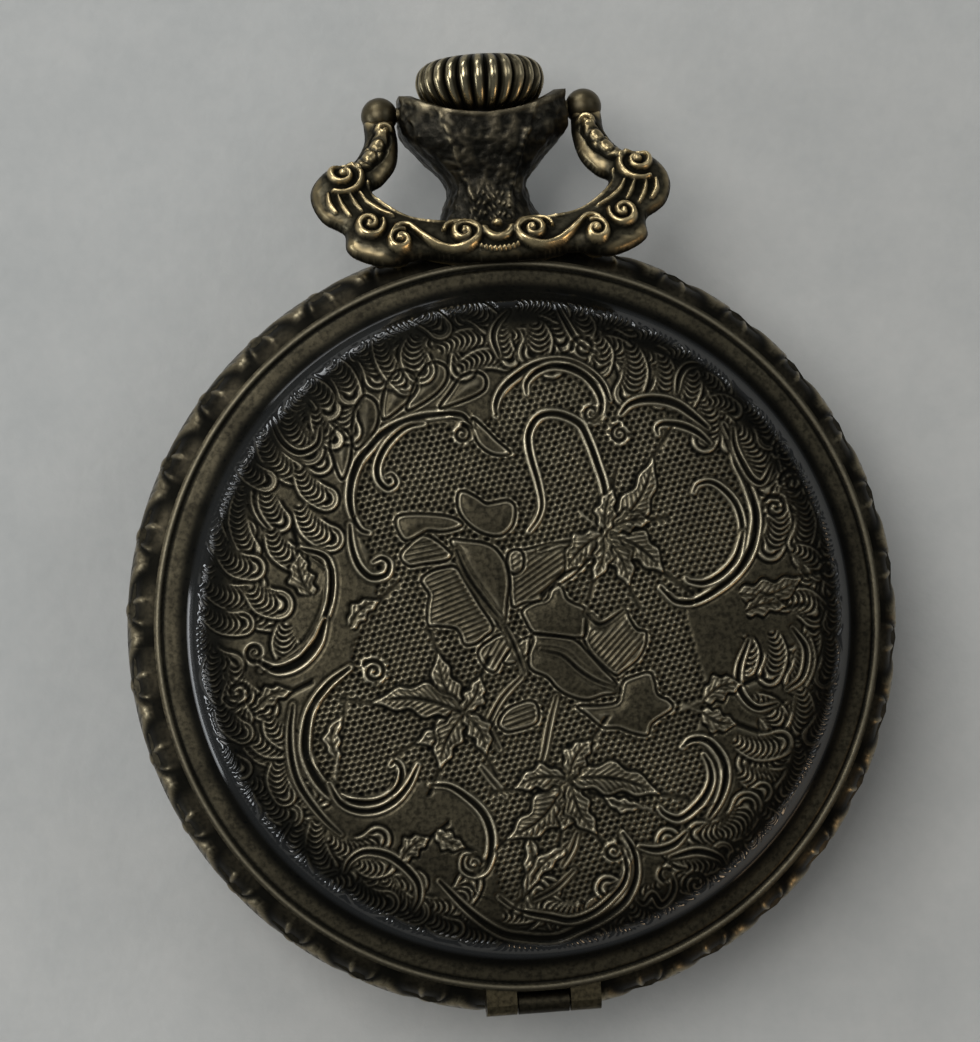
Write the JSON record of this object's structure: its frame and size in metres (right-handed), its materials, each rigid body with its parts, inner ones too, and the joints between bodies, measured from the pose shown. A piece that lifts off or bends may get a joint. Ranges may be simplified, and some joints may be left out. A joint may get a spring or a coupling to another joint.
{
  "type": "fob watch",
  "caption": "Hunter-case fob watch with hinged engraved lids, scrolled bow, pull crown and a geared lever movement behind a crystal.",
  "frame": {"origin": "middle of the flat land of the back cover, which the closed watch rests on", "axes": "+Z out through the front lid, +Y along the winding stem to the pendant, +X to the right"},
  "size_m": [0.0458, 0.0573, 0.0131],
  "materials": {
    "antique_bronze": "dark antique patina",
    "worn_bronze": "worn patina",
    "gilt_brass": "gilt",
    "polished_steel": "polished",
    "blued_steel": "blued",
    "enamel": "gloss enamel",
    "crystal": "clear"
  },
  "bodies": {
    "case": {"case_band": "antique_bronze", "pendant": "antique_bronze", "front_hinge_pin": "worn_bronze", "back_hinge_pin": "worn_bronze", "lid_spring": "polished_steel", "lock_spring": "polished_steel", "bezel": "worn_bronze", "crystal": "crystal", "dial": "enamel", "mainplate": "gilt_brass", "barrel_bridge": "gilt_brass", "train_bridge": "gilt_brass", "balance_cock": "gilt_brass", "pallet_cock": "gilt_brass", "case_screw_1": "blued_steel", "case_screw_2": "blued_steel", "barrel_bridge_screw_1": "blued_steel", "barrel_bridge_screw_2": "blued_steel", "train_bridge_screw_1": "blued_steel", "train_bridge_screw_2": "blued_steel", "balance_cock_screw": "blued_steel", "pallet_cock_screw": "blued_steel", "hairspring": "polished_steel", "click_spring": "polished_steel"},
    "front_lid": {"front_lid": "antique_bronze"},
    "back_cover": {"back_cover": "antique_bronze"},
    "bow": {"bow": "worn_bronze"},
    "winding_pinion": {"winding_pinion": "polished_steel"},
    "crown_and_stem": {"crown": "worn_bronze", "winding_stem": "polished_steel"},
    "sliding_clutch": {"sliding_clutch": "polished_steel"},
    "setting_lever": {"setting_lever": "polished_steel"},
    "yoke": {"yoke": "polished_steel"},
    "crown_wheel": {"crown_wheel": "polished_steel"},
    "ratchet": {"ratchet_wheel": "polished_steel", "barrel_arbor": "polished_steel"},
    "click": {"click": "polished_steel"},
    "minute": {"cannon_pinion": "polished_steel", "minute_hand": "blued_steel"},
    "minute_wheel": {"minute_wheel": "gilt_brass"},
    "hour": {"hour_wheel": "gilt_brass", "hour_hand": "blued_steel"},
    "setting_wheel": {"setting_wheel": "polished_steel"},
    "fourth": {"fourth_wheel": "gilt_brass", "seconds_hand": "blued_steel"},
    "third": {"third_wheel": "gilt_brass"},
    "centre": {"centre_wheel": "gilt_brass"},
    "escape": {"escape_wheel": "gilt_brass"},
    "barrel": {"barrel_drum": "gilt_brass", "barrel_cover": "gilt_brass", "mainspring": "polished_steel"},
    "pallet_fork": {"pallet_fork": "polished_steel"},
    "balance": {"balance_wheel": "gilt_brass"},
    "regulator": {"regulator": "polished_steel"}
  },
  "joints": [
    {"name": "front_lid_hinge", "type": "hinge", "parent": "case", "child": "front_lid", "pos_m": [0, -0.02234, 0.0097], "axis": [1, 0, 0], "range_deg": [0, 95]},
    {"name": "back_cover_hinge", "type": "hinge", "parent": "case", "child": "back_cover", "pos_m": [0, -0.02234, 0.0033], "axis": [-1, 0, 0], "range_deg": [0, 95]},
    {"name": "bow_swing", "type": "hinge", "parent": "case", "child": "bow", "pos_m": [0, 0.03099, 0.0065], "axis": [-1, 0, 0], "range_deg": [0, 300]},
    {"name": "crown_turn", "type": "hinge", "parent": "case", "child": "winding_pinion", "pos_m": [0, 0, 0.0065], "axis": [0, 1, 0], "continuous": true},
    {"name": "crown_pull", "type": "slide", "parent": "winding_pinion", "child": "crown_and_stem", "axis": [0, 1, 0], "range_m": [-0.0004, 0.001]},
    {"name": "clutch_shift", "type": "slide", "parent": "winding_pinion", "child": "sliding_clutch", "axis": [0, 1, 0], "range_m": [-0.0005, 0]},
    {"name": "setting_lever_turn", "type": "hinge", "parent": "case", "child": "setting_lever", "pos_m": [-0.00323, 0.01433, 0.0074], "axis": [0, 0, 1], "range_deg": [-9.5, 23]},
    {"name": "yoke_turn", "type": "hinge", "parent": "case", "child": "yoke", "pos_m": [-0.00451, 0.01073, 0.0074], "axis": [0, 0, 1], "range_deg": [-9, 1]},
    {"name": "crown_wheel_turn", "type": "hinge", "parent": "case", "child": "crown_wheel", "pos_m": [0, 0.0092, 0.0048], "axis": [0, 0, 1], "continuous": true},
    {"name": "ratchet_turn", "type": "hinge", "parent": "case", "child": "ratchet", "pos_m": [0.00688, 0.00482, 0.0048], "axis": [0, 0, 1], "continuous": true},
    {"name": "click_lift", "type": "hinge", "parent": "case", "child": "click", "pos_m": [0.01019, -0.00091, 0.0048], "axis": [0, 0, -1], "range_deg": [0, 12], "stiffness_Nm_per_rad": 0.00002},
    {"name": "minute_hand_turn", "type": "hinge", "parent": "case", "child": "minute", "pos_m": [0, 0, 0.0074], "axis": [0, 0, -1], "continuous": true},
    {"name": "minute_wheel_turn", "type": "hinge", "parent": "case", "child": "minute_wheel", "pos_m": [0, 0.004, 0.0074], "axis": [0, 0, -1], "continuous": true},
    {"name": "hour_hand_turn", "type": "hinge", "parent": "case", "child": "hour", "pos_m": [0, 0, 0.0077], "axis": [0, 0, -1], "continuous": true},
    {"name": "setting_wheel_turn", "type": "hinge", "parent": "case", "child": "setting_wheel", "pos_m": [0, 0.0082, 0.0074], "axis": [0, 0, -1], "continuous": true},
    {"name": "seconds_turn", "type": "hinge", "parent": "case", "child": "fourth", "pos_m": [0, -0.0086, 0.0056], "axis": [0, 0, -1], "continuous": true},
    {"name": "third_turn", "type": "hinge", "parent": "case", "child": "third", "pos_m": [-0.00308, -0.00486, 0.0051], "axis": [0, 0, -1], "continuous": true},
    {"name": "centre_turn", "type": "hinge", "parent": "case", "child": "centre", "pos_m": [0, 0, 0.0043], "axis": [0, 0, -1], "continuous": true},
    {"name": "escape_turn", "type": "hinge", "parent": "case", "child": "escape", "pos_m": [0.00398, -0.01021, 0.0051], "axis": [0, 0, -1], "continuous": true},
    {"name": "barrel_turn", "type": "hinge", "parent": "case", "child": "barrel", "pos_m": [0.00688, 0.00482, 0.0056], "axis": [0, 0, -1], "continuous": true},
    {"name": "pallet_turn", "type": "hinge", "parent": "case", "child": "pallet_fork", "pos_m": [0.00646, -0.00905, 0.0051], "axis": [0, 0, 1], "range_deg": [-5, 5]},
    {"name": "balance_turn", "type": "hinge", "parent": "case", "child": "balance", "pos_m": [0.00959, -0.00759, 0.004], "axis": [0, 0, 1], "range_deg": [-200, 200]},
    {"name": "regulator_turn", "type": "hinge", "parent": "case", "child": "regulator", "pos_m": [0.00959, -0.00759, 0.0023], "axis": [0, 0, 1], "range_deg": [-20, 20]}
  ],
  "couplings": [
    {"joint": "setting_lever_turn", "follows": "crown_pull", "rad_per_m": 392.16},
    {"joint": "yoke_turn", "follows": "clutch_shift", "rad_per_m": 294.12},
    {"joint": "crown_wheel_turn", "follows": "crown_turn", "ratio": 0.77778},
    {"joint": "ratchet_turn", "follows": "crown_turn", "ratio": -0.38889},
    {"joint": "minute_wheel_turn", "follows": "minute_hand_turn", "ratio": -0.33333},
    {"joint": "hour_hand_turn", "follows": "minute_hand_turn", "ratio": 0.083333},
    {"joint": "setting_wheel_turn", "follows": "minute_hand_turn", "ratio": 0.83333},
    {"joint": "third_turn", "follows": "seconds_turn", "ratio": -0.13333},
    {"joint": "centre_turn", "follows": "seconds_turn", "ratio": 0.016667},
    {"joint": "escape_turn", "follows": "seconds_turn", "ratio": -8},
    {"joint": "barrel_turn", "follows": "seconds_turn", "ratio": -0.0027778}
  ]
}
